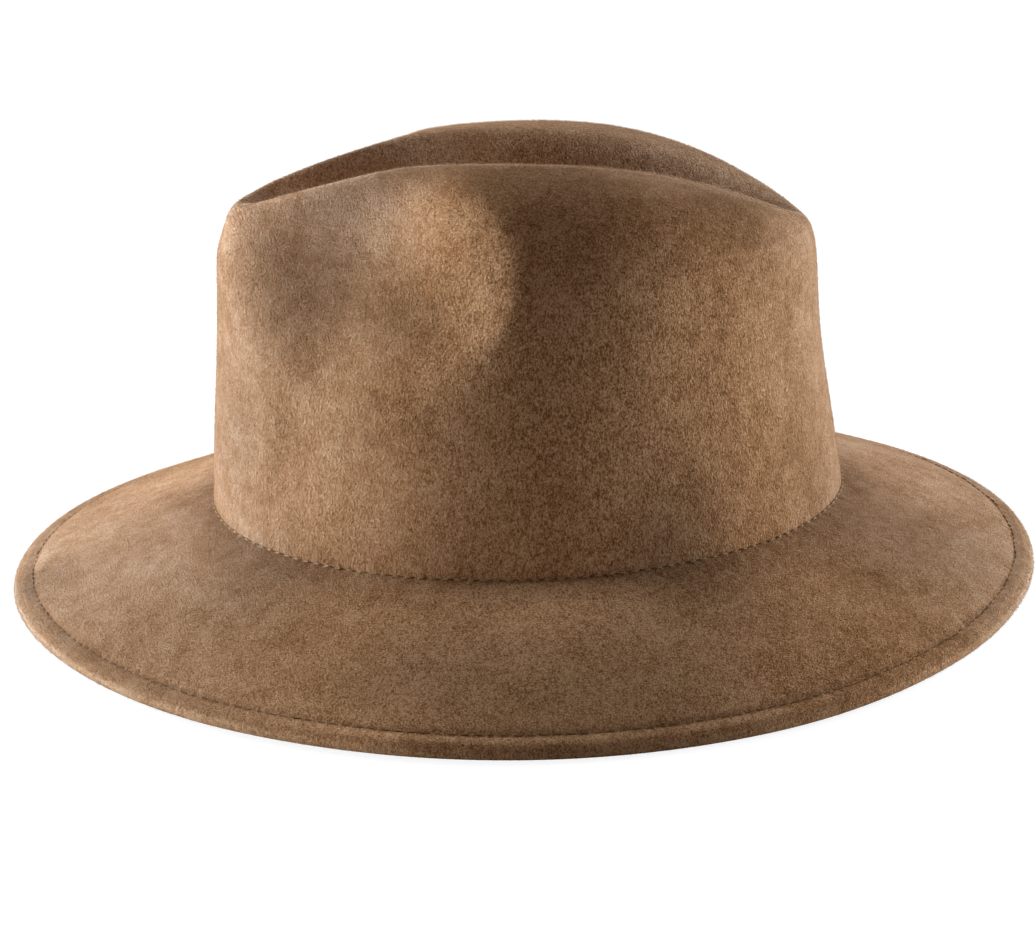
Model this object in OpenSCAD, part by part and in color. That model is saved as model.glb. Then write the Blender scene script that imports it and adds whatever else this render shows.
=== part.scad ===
// Felt fedora: one blocked felt body (crown, brim and turned-under brim edge) with its sewing threads,
// and the trim inside the crown: a reeded leather sweatband with a back joint and bow, and a satin lining.
// Millimetres. +Z is up, -Y is the front of the hat, +X is the wearer's left.
// The origin is on the surface that the hat stands on, below the middle of the brim.

/* [Head opening] */
// Length of the head opening inside the sweatband, front to back
head_l = 201; // [185:1:215]
// Width of the head opening inside the sweatband
head_w = 165; // [150:1:178]

/* [Felt] */
// Thickness of the felt
felt_t = 2.2; // [1.6:0.1:3]

/* [Crown] */
// Height of the two ridges above the brim break, halfway along
ridge_h = 117.5; // [105:0.5:130]
// Height of the crown at its front end
front_h = 107; // [95:0.5:114]
// Height of the crown at its back end
back_h = 91; // [80:0.5:100]
// Distance between the crests of the two ridges, halfway along
ridge_gap = 54; // [40:1:64]
// How much wider than that the top is at the back and narrower at the front, as a share
ridge_taper = 0.2; // [0:0.05:0.4]
// Depth of the crease between the ridges, halfway along
crease_depth = 22; // [12:0.5:30]
// Length of the crease's bottom line
crease_l = 120; // [100:1:140]
// How far the front of the crown leans in by the shoulder
front_lean = 3.5; // [0:0.5:10]
// How far the back of the crown leans in by the shoulder
back_lean = 9; // [3:0.5:14]
// How far the sides of the crown lean in by the shoulder
side_lean = 13.5; // [8:0.5:20]

/* [Pinch] */
// Depth of the two thumb dents at the front of the crown
pinch_depth = 19; // [0:0.5:22]
// Distance of the dents' deepest place in front of the middle of the head opening
pinch_forward = 73; // [55:1:80]
// Height of the dents' deepest place above the brim break
pinch_h = 95; // [80:1:100]
// How far a dent runs from there towards the front
pinch_front = 30; // [24:1:40]
// How far a dent runs from there towards the back
pinch_back = 55; // [40:1:70]
// How far a dent runs up
pinch_up = 36; // [24:1:40]
// How far a dent runs down
pinch_down = 40; // [24:1:50]

/* [Brim] */
// Width of the brim in plan at the sides, from the crown to its edge
brim_side = 67.5; // [45:0.5:90]
// Width of the brim at the front
brim_front = 67.5; // [45:0.5:90]
// Width of the brim at the back
brim_back = 64.5; // [45:0.5:90]
// How far the brim drops from the crown to its edge, at the sides
drop_side = 29; // [15:0.5:36]
// How far the brim drops at the front
drop_front = 24.5; // [12:0.5:34]
// How far the brim drops at the back
drop_back = 23; // [10:0.5:34]
// Share of the drop that comes as the brim curves down towards its edge
brim_curve = 0.2; // [0:0.05:0.5]
// Distance of the edge stitching from the brim's edge, in plan
welt_w = 7; // [5.5:0.5:12]
// Width of the felt beyond the stitching on the turned-under side
flap_tail = 2.5; // [2:0.5:6]

/* [Sewing threads] */
// Diameter of the sewing thread
thread_d = 0.6; // [0.4:0.05:0.9]
// Pitch of the stitches
stitch_pitch = 4; // [3:0.25:6]
// Gap between stitches, where the thread goes down through the felt
stitch_gap = 0.9; // [0.6:0.1:1.5]

/* [Sweatband] */
// Thickness of the leather
leather_t = 1; // [0.8:0.1:1.6]
// Height of the leather sweatband
sweatband_h = 40; // [30:1:48]
// How far the free top edge of the sweatband stands off the felt
stand_off = 1; // [0.4:0.1:2]
// Diameter of the reed in the sweatband's lower edge
reed_d = 1.8; // [1.2:0.1:2.4]
// Thickness of the tape that wraps the reed
tape_t = 0.4; // [0.3:0.05:0.6]
// Height of the tape's tail behind the leather
tape_h = 9; // [6:0.5:16]
// Width of the backing strip behind the joint of the sweatband
joint_tape_w = 12; // [8:1:20]
// Gap between the two ends of the sweatband at the back
joint_gap = 0.4; // [0.2:0.1:1]

/* [Bow] */
// Width of the small bow at the back of the sweatband
bow_w = 26; // [18:1:34]
// Height of the bow's ribbon
bow_h = 7; // [5:0.5:10]
// Height of the bow's middle above the brim break
bow_up = 20; // [14:1:26]
// Thickness of the bow's ribbon
ribbon_t = 0.5; // [0.4:0.1:0.8]

/* [Lining] */
// Thickness of the satin lining
lining_t = 0.4; // [0.3:0.1:0.8]
// How far the lining reaches down behind the sweatband
lining_tuck = 10; // [6:1:16]
// Diameter of the piping where the lining's tip joins its side
piping_d = 1.6; // [1:0.1:2.4]

/* [Hidden] */

// Facets round the hat, and how much closer they lie at the front, in degrees
around = 48;
front_bias = 12;
// Rings up the crown, between the brim break and the crease
crown_rings = 24;
// Clearance between a piece and the next
slip = 0.3;
// Clearance under a thread or trim that lies on a surface
lie = 0.06;

// Room behind the leather for the reed tape and the edge of the lining
backing_gap = max(tape_t, lining_t) + 2*slip;
// Half length and half width of the outside of the crown at the brim break
seam_l = head_l/2 + leather_t + backing_gap + felt_t;
seam_w = head_w/2 + leather_t + backing_gap + felt_t;

// Depths from the outside of the felt
lining_out = felt_t + slip/2;
lining_in = lining_out + lining_t;
leather_out = felt_t + backing_gap;

// The blocked crown is a cubic loft through nine loops, from the brim break over the ridges to the crease.
// A loop has its half length at the front, half length at the back and half width, its height above the
// break at the sides, at the front and at the back, and how much wider it is at the back.
// The ridges keep their height for longer than a parabola would, by this power.
ridge_fullness = 2.5;
straight_h = 22;
straight_lean = [0.1, 0.35, 0.04];
middle_lean = [0.9, 1, 0.4];
middle_share = [0.48, 0.51, 0.555];
shoulder_lean = [1, 0.95, 1];
shoulder_share = [0.76, 0.77, 0.82];
brow_in = [3, 10.5, 26.5];
brow_down = [5, 20.5, 3];
crest_in = [8, 16];
crest_down = [1.5, 2.8, 3];
inner_in = [14, 26];
inner_down = [0.8, 3.5, 3];
inner_w = 17;
inner_taper = 0.5;
crease_front = 6;
crease_end_down = [-1, 9];
valley_w = 9;
valley_l = 8;
valley_rise = 1.2;

crease_h = ridge_h - crease_depth;
crease_ends = [crease_h, crease_h - crease_end_down[0], crease_h - crease_end_down[1]];
valley_up = [valley_rise, valley_rise, valley_rise];
// A loop on the wall of the crown, by its shares of the leans
function wall_loop(lean, up) = [
  [seam_l - lean[0]*front_lean, seam_l - lean[1]*back_lean, seam_w - lean[2]*side_lean], up, 0];
crown_loops = [
  [[seam_l, seam_l, seam_w], [0, 0, 0], 0],
  wall_loop(straight_lean, [straight_h, straight_h, straight_h]),
  wall_loop(middle_lean, [middle_share[0]*ridge_h, middle_share[1]*front_h, middle_share[2]*back_h]),
  wall_loop(shoulder_lean, [shoulder_share[0]*ridge_h, shoulder_share[1]*front_h, shoulder_share[2]*back_h]),
  [[seam_l - brow_in[0], seam_l - brow_in[1], ridge_gap/2 + brow_in[2]],
    [ridge_h - brow_down[0], front_h - brow_down[1], back_h - brow_down[2]], ridge_taper],
  [[seam_l - crest_in[0], seam_l - crest_in[1], ridge_gap/2],
    [ridge_h - crest_down[0], front_h - crest_down[1], back_h - crest_down[2]], ridge_taper],
  [[seam_l - inner_in[0], seam_l - inner_in[1], inner_w],
    [ridge_h - inner_down[0], front_h - inner_down[1], back_h - inner_down[2]], inner_taper*ridge_taper],
  [[crease_l/2 + crease_front + valley_l, crease_l/2 - crease_front + valley_l, valley_w],
    crease_ends + valley_up, 0],
  [[crease_l/2 + crease_front, crease_l/2 - crease_front, 0], crease_ends, 0]
];
degree = 3;
spans = len(crown_loops) - degree;
// How far up the loft the lining's tip joins its side, and how far each stays off the join, in spans
tip_seam = 3;
tip_gap = 0.08;
// Step for finding slopes on the loft, in spans and in degrees
span_step = 0.04;
turn_step = 1;
// How close to the middle of the crown the dents fade out
dent_clear = 24;
// Where the dents push towards, in front of the middle of the head opening
dent_aim = 25;

function unit(v) = v/norm(v);
function flat(lists) = [for (list = lists) each list];

function knot(i) = min(max(i - degree, 0), spans);
function part_of(a, b) = b > 0 ? a/b : 0;
function basis(i, d, t) = d == 0
  ? ((t >= knot(i) && t < knot(i + 1)) || (t == spans && i == spans + degree - 1) ? 1 : 0)
  : part_of(t - knot(i), knot(i + d) - knot(i))*basis(i, d - 1, t)
    + part_of(knot(i + d + 1) - t, knot(i + d + 1) - knot(i + 1))*basis(i + 1, d - 1, t);
function weights(t) = [for (i = [0:len(crown_loops) - 1]) basis(i, degree, t)];

// A point on a loop, turned by q degrees from the front towards the wearer's left
function loop_point(loop, q) = let(plan = loop[0], up = loop[1], c = -cos(q))
  [plan[2]*sin(q)*(1 + loop[2]*c), ((plan[0] + plan[1])/2 + (plan[1] - plan[0])/2*c)*c,
    up[0] + ((up[1] + up[2])/2 - up[0])*pow(abs(c), ridge_fullness) + (up[2] - up[1])/2*c];

// The thumb dent is an oval bowl that pushes the crown in towards the aim
function pinched(p) = let(
    back = p.y + pinch_forward,
    high = p.z - pinch_h,
    along = back/(back > 0 ? pinch_back : pinch_front),
    upright = high/(high > 0 ? pinch_up : pinch_down),
    bowl = max(1 - along*along - upright*upright, 0),
    push = pinch_depth*bowl*(1 - exp(-pow(p.x/dent_clear, 2))))
  push > 0 ? p - push*unit([p.x, p.y + dent_aim, 0]) : p;

function loft(w, q) = pinched(w*[for (loop = crown_loops) loop_point(loop, q)]);
function loft_normal(below, here, above, q) = unit(cross(
  loft(here, q + turn_step) - loft(here, q - turn_step), loft(above, q) - loft(below, q)));
// A point at span t of the loft and turn q, at a depth inside the felt's outer face
function crown_at(t, q, depth) = let(w = weights(t))
  loft(w, q) - depth*loft_normal(weights(max(t - span_step, 0)), w, weights(min(t + span_step, spans)), q);

function turn(a) = a - front_bias*sin(a);
turns = [for (i = [0:around - 1]) turn(i*360/around)];
function crown_ring(t, depth) = let(
    w = weights(t),
    below = weights(max(t - span_step, 0)),
    above = weights(min(t + span_step, spans)))
  [for (q = turns) loft(w, q) - (depth == 0 ? [0, 0, 0] : depth*loft_normal(below, w, above, q))];
// The crease's bottom line, where the two halves of a ring lie on each other.
// Its slope is taken a little before the end of the loft, where the rings are still open.
crease_near = 0.24;
function crease_line(depth) = let(
    w = weights(spans),
    near = weights(spans - crease_near),
    near_up = weights(spans - crease_near + span_step))
  [for (i = [0:around/2]) let(p = loft(w, turns[i]), n = loft_normal(near, near_up, w, turns[i]))
    [0, p.y, p.z] - depth*unit([0, n.y, n.z])];

// The rings of the crown, from the crease down. Two of them are the edges of the lining's tip and side,
// so that felt and lining have the same facets and lie on each other.
tip_low = tip_seam + tip_gap;
lining_high = tip_seam - tip_gap;
even_spans = [for (i = [1:crown_rings - 1]) spans*(1 - i/crown_rings)];
crown_spans = concat(
  [for (t = even_spans) if (t > tip_low + span_step) t],
  [tip_low, lining_high],
  [for (t = even_spans) if (t < lining_high - span_step) t]);
foot_span = 0.03;

// The span at which the wall of the crown reaches a height
function span_at(z, low, high, steps) = let(middle = (low + high)/2)
  steps == 0 ? middle
  : (weights(middle)*[for (loop = crown_loops) loop[1][0]] < z)
    ? span_at(z, middle, high, steps - 1) : span_at(z, low, middle, steps - 1);
wall_spans = 2;
halvings = 24;
function wall_span(z) = span_at(z, 0, wall_spans, halvings);

// The brim, s outwards from the crown in plan
function outward(q) = unit([sin(q)/seam_w, -cos(q)/seam_l, 0]);
function seam_point(q) = [seam_w*sin(q), -seam_l*cos(q), 0];
// A value that runs from the sides to the front and to the back of the hat
function round_about(side, front, back, q) = side + ((cos(q) > 0 ? front : back) - side)*pow(cos(q), 2);
function brim_w(q) = round_about(brim_side, brim_front, brim_back, q);
function brim_top(s, q) = let(w = brim_w(q))
  seam_point(q) + s*outward(q)
  - [0, 0, round_about(drop_side, drop_front, drop_back, q)*((1 - brim_curve)*s + brim_curve*s*s/w)/w];
brim_step = 0.5;
function brim_normal(s, q) = unit(cross(
  brim_top(s + brim_step, q) - brim_top(s - brim_step, q),
  brim_top(s, q + turn_step) - brim_top(s, q - turn_step)));

// The turned-under edge: the stitching sits in a groove, and the felt folds round to lie double.
// A step has its share of the way from the crown to the stitching, its distance beyond that, and its depth.
groove_d = 0.7;
groove_w = 1.8;
welt_puff = 0.35;
flap_bevel = 0.55;
fold_steps = 5;
fold_out = welt_w - felt_t;
break_out = 2;
brim_shares = [0.15, 0.38, 0.62, 0.85];
brim_tops = concat(
  [[0, break_out, 0]],
  [for (share = brim_shares) [share, 0, 0]],
  [[1, -groove_w, 0], [1, 0, groove_d], [1, groove_w, 0], [1, (groove_w + fold_out)/2, -welt_puff]]);
brim_fold = [for (i = [0:fold_steps]) let(a = 180*i/fold_steps)
  [1, fold_out + felt_t*sin(a), felt_t*(1 - cos(a))]];
brim_unders = concat(
  [[1, 0, 2*felt_t], [1, -flap_tail, 2*felt_t], [1, -flap_tail - flap_bevel, felt_t]],
  [for (k = [len(brim_shares) - 2:-1:0]) [brim_shares[k], 0, felt_t]],
  [[0, break_out, felt_t]]);
function brim_at(step, q) = let(s = step[0]*(brim_w(q) - welt_w) + step[1])
  brim_top(s, q) - step[2]*brim_normal(s, q);
function brim_ring(step) = [for (q = turns) brim_at(step, q)];
// The inside of the bend between the brim and the crown
bend_share = 0.85;
bend_ring = [for (q = turns) seam_point(q) - bend_share*felt_t*(outward(q) + [0, 0, 1])];

// Height of the brim break above the surface that the hat stands on
stand_h = -min([for (step = brim_fold, q = turns) brim_at(step, q).z]);
// The origin is below the middle of the brim, so a deeper brim in front sets the head opening back
module standing() {
  translate([0, (brim_front - brim_back)/2, stand_h])
    children();
}

// The two halves of a square of a skin, split along its shorter diagonal, so that layers on each other match
function halves(points, a, b, c, d) = norm(points[a] - points[c]) < norm(points[b] - points[d])
  ? [[a, b, c], [a, c, d]] : [[a, b, d], [b, c, d]];

// A closed skin over rings of points, whose first and last ring are folded shut along the crease
module crease_shell(rings) {
  skin = flat(rings);
  last = len(rings) - 1;
  half = around/2 + 1;
  function index(r, j) = let(k = j % around)
    r == 0 ? min(k, around - k) : half + (r - 1)*around + (r == last ? min(k, around - k) : k);
  polyhedron(points = skin, faces = [for (r = [0:last - 1], j = [0:around - 1])
    each halves(skin, index(r, j), index(r, j + 1), index(r + 1, j + 1), index(r + 1, j))]);
}

// A solid through a row of sections, which closes on itself or has flat ends
module swept(sections, closed = true) {
  skin = flat(sections);
  count = len(sections);
  size = len(sections[0]);
  function index(i, k) = (i % count)*size + k % size;
  polyhedron(points = skin, faces = concat(
    [for (i = [0:count - (closed ? 1 : 2)], k = [0:size - 1])
      each halves(skin, index(i, k), index(i, k + 1), index(i + 1, k + 1), index(i + 1, k))],
    closed ? [] : [
      [for (k = [size - 1:-1:0]) index(0, k)],
      [for (k = [0:size - 1]) index(count - 1, k)]]));
}

module rod(from, to, d) {
  way = to - from;
  translate(from)
    rotate([0, acos(way.z/norm(way)), atan2(way.y, way.x)])
      cylinder(d = d, h = norm(way), $fn = 24);
}

// Stitches along a closed row of points
module stitches(path) {
  count = len(path);
  function gap(i) = norm(path[(i + 1) % count] - path[i % count]);
  ends = [for (i = 0, s = 0; i <= count; s = s + gap(i), i = i + 1) s];
  total = ends[count];
  function along(s, axis) = lookup(s - total*floor(s/total),
    [for (i = [0:count]) [ends[i], path[i % count][axis]]]);
  function spot(s) = [along(s, 0), along(s, 1), along(s, 2)];
  number = round(total/stitch_pitch);
  pitch = total/number;
  for (i = [0:number - 1])
    rod(spot(i*pitch + stitch_gap/2), spot((i + 1)*pitch - stitch_gap/2), thread_d);
}

module felt_body() color("#a97b4f")
  standing()
    crease_shell(concat(
      [crease_line(0)],
      [for (t = concat(crown_spans, [foot_span, 0])) crown_ring(t, 0)],
      [for (step = concat(brim_tops, brim_fold, brim_unders)) brim_ring(step)],
      [bend_ring],
      [for (i = [len(crown_spans) - 1:-1:0]) crown_ring(crown_spans[i], felt_t)],
      [crease_line(felt_t)]));

module welt_top_thread() color("#8a6238")
  standing()
    stitches(brim_ring([1, 0, groove_d - thread_d/2 - 2*lie]));

module welt_under_thread() color("#8a6238")
  standing()
    stitches(brim_ring([1, 0, 2*felt_t + thread_d/2 + lie]));

// The row that holds the sweatband, in the corner between crown and brim
module sweatband_seam_thread() color("#c9a06c")
  standing()
    stitches([for (q = turns) seam_point(q) + (thread_d/2 + 2*lie)*(outward(q) + [0, 0, 1])]);

// Heights and depths of the sweatband's section, on the outside and on the inside
band_low = 1;
band_steps = 3;
function band_height(i) = band_low + (sweatband_h - band_low)*i/band_steps;
function band_depth(z) = leather_out + stand_off*pow(z/sweatband_h, 2);
function band_at(z, q, inside) = crown_at(wall_span(z), q, band_depth(z) + inside);
joint_turn = joint_gap/2/seam_w*180/PI;
module sweatband() color("#6b4630")
  standing()
    swept([for (i = [0:around]) let(q = turn(180 + joint_turn + (360 - 2*joint_turn)*i/around))
      concat(
        [for (k = [0:band_steps]) band_at(band_height(k), q, 0)],
        [for (k = [band_steps:-1:0]) band_at(band_height(k), q, leather_t)])],
      closed = false);

// The reed runs under the leather's lower edge, inside the fold of its tape, with this clearance
reed_slip = 0.12;
fold_r = reed_d/2 + reed_slip + tape_t/2;
reed_in = max(leather_t/2, felt_t + slip/2 + fold_r + tape_t/2 - band_depth(band_low));
reed_sides = 6;
function reed_at(q, r, a) = band_at(band_low, q, reed_in) - [0, 0, fold_r + tape_t/2 + lie]
  + r*(cos(a)*outward(q) + [0, 0, sin(a)]);
module sweatband_reed() color("#d8d2c4")
  standing()
    swept([for (q = turns) [for (k = [0:reed_sides - 1]) reed_at(q, reed_d/2, 360*k/reed_sides)]]);

// The tape starts under the leather, folds round below the reed and ends in a tail behind the leather
tape_start = 115;
tape_end = 340;
tape_steps = 4;
tape_turns = [for (i = [0:tape_steps]) tape_start + (tape_end - tape_start)*i/tape_steps];
tail_span = wall_span(tape_h);
tail_out = felt_t + slip;
module reed_tape() color("#2f2a26")
  standing()
    swept([for (q = turns) concat(
      [for (a = tape_turns) reed_at(q, fold_r + tape_t/2, a)],
      [crown_at(tail_span, q, tail_out), crown_at(tail_span, q, tail_out + tape_t)],
      [for (k = [tape_steps:-1:0]) reed_at(q, fold_r - tape_t/2, tape_turns[k])])]);

// The stitching that joins leather and tape, on the inside just above the reed
reed_row = 3;
module reed_tape_thread() color("#a5835c")
  standing()
    stitches([for (q = turns) band_at(reed_row, q, leather_t + thread_d/2 + lie)]);

// The backing strip behind the joint, between the reed tape's tail and the lining's edge
joint_tape_clear = 1;
joint_tape_low = tape_h + joint_tape_clear;
joint_tape_high = sweatband_h - lining_tuck - joint_tape_clear;
joint_tape_steps = 2;
module sweatband_joint_tape() color("#2f2a26")
  standing()
    swept([for (i = [0:joint_tape_steps])
      let(q = 180 + (i/joint_tape_steps - 0.5)*joint_tape_w/seam_w*180/PI)
      [band_at(joint_tape_low, q, -lie - tape_t), band_at(joint_tape_high, q, -lie - tape_t),
        band_at(joint_tape_high, q, -lie), band_at(joint_tape_low, q, -lie)]],
      closed = false);

// A zigzag of thread over the joint, on the inside
zigzag_w = 3;
zigzag_pitch = 3;
module sweatband_joint_thread() color("#a5835c") {
  number = floor((sweatband_h - 2*reed_row)/zigzag_pitch);
  turn = zigzag_w/2/seam_w*180/PI;
  standing()
    for (i = [0:number - 1]) {
      low = reed_row + thread_d + i*zigzag_pitch;
      way = i % 2 == 0 ? 1 : -1;
      rod(band_at(low + thread_d/2, 180 - way*turn, leather_t + thread_d/2 + lie),
        band_at(low + zigzag_pitch - thread_d/2, 180 + way*turn, leather_t + thread_d/2 + lie), thread_d);
    }
}

// The bow: two flattened loops of ribbon and the knot that gathers them, in front of the joint
knot_d = 4;
knot_share = 0.75;
knot_h = knot_share*bow_h;
loop_thick = 3;
loop_root = 0.4;
loop_steps = 20;
bow_back = band_at(bow_up, 180, leather_t) - [0, thread_d + 2*lie, 0];
module bow_loop(side) {
  reach = (bow_w - knot_d)/2 - lie;
  sections = [for (i = [0:loop_steps - 1]) let(
      a = 360*i/loop_steps,
      out = (1 - cos(a))/2,
      x = knot_d/2 + lie + reach*out,
      y = -loop_thick/2 - ribbon_t/2 - loop_thick/2*sin(a)*(loop_root + (1 - loop_root)*out),
      half = (knot_h + (bow_h - knot_h)*sqrt(out))/2,
      off = -ribbon_t/2*[cos(a), sin(a)])
    [for (corner = [[-1, -1], [-1, 1], [1, 1], [1, -1]])
      [side*(x + corner[0]*off[0]), y + corner[0]*off[1], corner[1]*half]]];
  standing()
    translate(bow_back)
      swept(side < 0 ? sections : [for (section = sections) [for (k = [3:-1:0]) section[k]]]);
}
module bow_left_loop() color("#3a2a20")
  bow_loop(1);
module bow_right_loop() color("#3a2a20")
  bow_loop(-1);
module bow_knot() color("#3a2a20")
  standing()
    translate(bow_back + [0, -knot_d/2, -knot_h/2])
      cylinder(d = knot_d, h = knot_h, $fn = 32);

lining_low = wall_span(sweatband_h - lining_tuck);
side_spans = concat(
  [lining_low],
  [for (i = [len(crown_spans) - 1:-1:0]) let(t = crown_spans[i])
    if (t > lining_low + span_step && t <= lining_high) t]);
module lining_side() color("#b99b78")
  standing()
    swept([for (q = turns) concat(
      [for (t = side_spans) crown_at(t, q, lining_out)],
      [for (k = [len(side_spans) - 1:-1:0]) crown_at(side_spans[k], q, lining_in)])]);

tip_spans = [for (t = crown_spans) if (t >= tip_low) t];
module lining_tip() color("#b99b78")
  standing()
    crease_shell(concat(
      [crease_line(lining_out)],
      [for (t = tip_spans) crown_ring(t, lining_out)],
      [for (k = [len(tip_spans) - 1:-1:0]) crown_ring(tip_spans[k], lining_in)],
      [crease_line(lining_in)]));

piping_sides = 5;
module lining_piping() color("#8d7355")
  standing()
    swept([for (q = turns) let(
        middle = crown_at(tip_seam, q, lining_in + lie + piping_d/2),
        out = unit(middle - crown_at(tip_seam, q, lining_in + 2*piping_d)),
        up = unit(crown_at(tip_seam + span_step, q, 0) - crown_at(tip_seam - span_step, q, 0)))
      [for (k = [0:piping_sides - 1]) let(a = 360*k/piping_sides)
        middle + piping_d/2*(cos(a)*out + sin(a)*up)]]);

felt_body();
welt_top_thread();
welt_under_thread();
sweatband_seam_thread();
sweatband();
sweatband_reed();
reed_tape();
reed_tape_thread();
sweatband_joint_tape();
sweatband_joint_thread();
bow_left_loop();
bow_right_loop();
bow_knot();
lining_side();
lining_tip();
lining_piping();
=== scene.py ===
import math

import bmesh
import bpy
import numpy as np
from mathutils import Matrix, Vector, noise
from mathutils.bvhtree import BVHTree


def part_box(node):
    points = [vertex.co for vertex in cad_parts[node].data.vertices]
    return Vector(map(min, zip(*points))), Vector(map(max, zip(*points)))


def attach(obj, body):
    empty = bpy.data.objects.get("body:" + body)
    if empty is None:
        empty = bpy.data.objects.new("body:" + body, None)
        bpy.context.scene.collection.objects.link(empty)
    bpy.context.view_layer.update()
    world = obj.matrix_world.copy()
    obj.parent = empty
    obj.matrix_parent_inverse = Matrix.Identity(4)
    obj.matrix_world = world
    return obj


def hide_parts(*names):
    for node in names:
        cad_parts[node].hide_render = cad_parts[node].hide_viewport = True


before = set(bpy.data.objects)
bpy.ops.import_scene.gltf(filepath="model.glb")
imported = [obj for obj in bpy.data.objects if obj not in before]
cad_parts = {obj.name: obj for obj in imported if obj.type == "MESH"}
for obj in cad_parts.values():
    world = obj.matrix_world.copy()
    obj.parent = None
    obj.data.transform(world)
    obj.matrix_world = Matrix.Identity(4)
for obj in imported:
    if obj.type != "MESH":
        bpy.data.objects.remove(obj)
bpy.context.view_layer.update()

bl_info = {
    "name": "Felt Fedora",
    "version": (1, 0, 0),
    "blender": (4, 5, 0),
    "location": "View3D > Sidebar > Fedora",
    "description": "Dresses a fedora's packed solids in felt, sewing, leather and satin, in a studio",
    "category": "Object",
}

# Where the crown meets the brim: middle and half lengths of the oval of sweatband stitches
SEAM_LOW, SEAM_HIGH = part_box("sweatband_seam_thread")
SEAM_MIDDLE = (SEAM_LOW + SEAM_HIGH) / 2

# The thumb dents: how far their deepest place is in front of and above the seam's middle, their reaches from
# it, and how far in front of the seam's middle the upright line is that their rims stand out from
DENT_FORWARD, DENT_RISE = 0.073, 0.095
DENT_BACK, DENT_FRONT, DENT_UP, DENT_DOWN = 0.055, 0.030, 0.036, 0.040
DENT_CENTRE = 0.025

# The one unevenness that every piece follows: its seed, its size and the height where it gets its full rise
UNEVEN_SEED, UNEVEN_SIZE, UNEVEN_RISE = 5, 0.055, 0.02

# Points closer than this are one point, and faces that meet at more than this angle meet sharply
ONE_POINT, SHARP_ANGLE = 1e-6, math.radians(50)

# The brim's edge lies below this height, and felt closer than this to the pieces inside the hat has no nap
EDGE_TOP, NAP_ROOM = 0.016, 0.0019

# Pieces of nap: the seed of each one's random draws, and how far its fibres lean over, in radians
NAP_PIECES = {
    "nap_crown": (3, 0.9), "nap_left_ridge": (4, 0.4), "nap_right_ridge": (7, 0.4), "nap_brim": (5, 0.9),
    "nap_edge": (6, 0.7)}

# Where the bow's knot gets more points, as shares of its height
KNOT_CUTS = (0.15, 0.3, 0.5, 0.7, 0.85)

# Width of a stripe of the wave texture at a scale of one
STRIPE = 0.314159

# What the lamps face, how far they are from it and how wide, and what the camera faces
LAMP_AIM, LAMP_DISTANCE, LAMP_SIZE = Vector((0, 0, 0.07)), 1.33, 0.8
CAMERA_AIM = Vector((0, SEAM_MIDDLE.y, 0.032))

# Brush marks and painted light and shade in the nap: where each one is, how far it reaches, and how much
# lighter or darker it paints the nap
PAINTED_LIGHT_AND_BRUSH_MARKS = (
    ((0.033, -0.047, 0.136), 0.015, 0.38), ((0.014, -0.076, 0.140), 0.010, 0.42),
    ((-0.033, -0.047, 0.136), 0.015, 0.08), ((-0.014, -0.076, 0.140), 0.010, 0.40),
    ((0.017, -0.062, 0.142), 0.011, 0.36), ((0.023, -0.067, 0.128), 0.009, 0.26),
    ((0.046, -0.066, 0.099), 0.011, 0.33), ((0.052, -0.033, 0.122), 0.010, 0.15),
    ((0.008, -0.092, 0.130), 0.010, 0.20), ((0.052, -0.080, 0.052), 0.016, 0.12),
    ((0.068, -0.058, 0.062), 0.016, 0.12), ((0.082, 0.005, 0.062), 0.022, 0.15),
    ((0.078, 0.032, 0.096), 0.013, 0.14), ((0.072, 0.006, 0.119), 0.014, -0.12),
    ((0.050, -0.052, 0.110), 0.011, -0.28), ((-0.050, -0.052, 0.110), 0.011, -0.25),
    ((0.037, 0.000, 0.146), 0.018, -0.20), ((0.040, 0.032, 0.143), 0.018, -0.15),
    ((0.040, 0.058, 0.138), 0.012, -0.20), ((0.081, 0.028, 0.047), 0.013, -0.22),
    ((0.090, 0.032, 0.029), 0.014, -0.28), ((0.088, -0.014, 0.031), 0.013, 0.15),
    ((0.054, -0.097, 0.028), 0.014, -0.20), ((-0.075, 0.020, 0.070), 0.025, 0.15),
    ((-0.080, -0.030, 0.055), 0.018, -0.12), ((-0.050, -0.122, 0.020), 0.028, 0.15),
    ((-0.057, -0.101, 0.026), 0.016, 0.25), ((-0.006, -0.161, 0.011), 0.009, -0.30),
    ((-0.025, -0.150, 0.013), 0.016, 0.15), ((0.058, 0.110, 0.023), 0.020, -0.20),
    ((-0.008, 0.130, 0.023), 0.022, 0.20), ((0.138, -0.022, 0.010), 0.022, -0.20),
    ((0.135, 0.015, 0.010), 0.020, -0.20), ((0.132, -0.085, 0.004), 0.013, 0.30),
    ((0.115, -0.055, 0.017), 0.014, -0.15), ((-0.130, 0.040, 0.010), 0.025, -0.15),
    ((0.022, -0.098, 0.068), 0.016, -0.15), ((0.055, -0.042, 0.112), 0.012, -0.12),
    ((0.060, 0.030, 0.131), 0.016, 0.20), ((0.120, -0.080, 0.012), 0.010, -0.20),
    ((-0.031, -0.037, 0.139), 0.018, 0.20), ((-0.029, 0.000, 0.142), 0.022, 0.18))


# Properties


def a_colour(name, description, default, most=1):
    """A colour that a user can change."""
    return bpy.props.FloatVectorProperty(
        name=name, description=description, default=default, subtype="COLOR", min=0, max=most)


def a_length(name, description, default, least, most):
    """A length that a user can change."""
    return bpy.props.FloatProperty(
        name=name, description=description, default=default, unit="LENGTH", min=least, max=most, precision=6)


def an_angle(name, description, degrees):
    """An angle that a user can change."""
    return bpy.props.FloatProperty(
        name=name, description=description, default=math.radians(degrees), unit="ROTATION")


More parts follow.
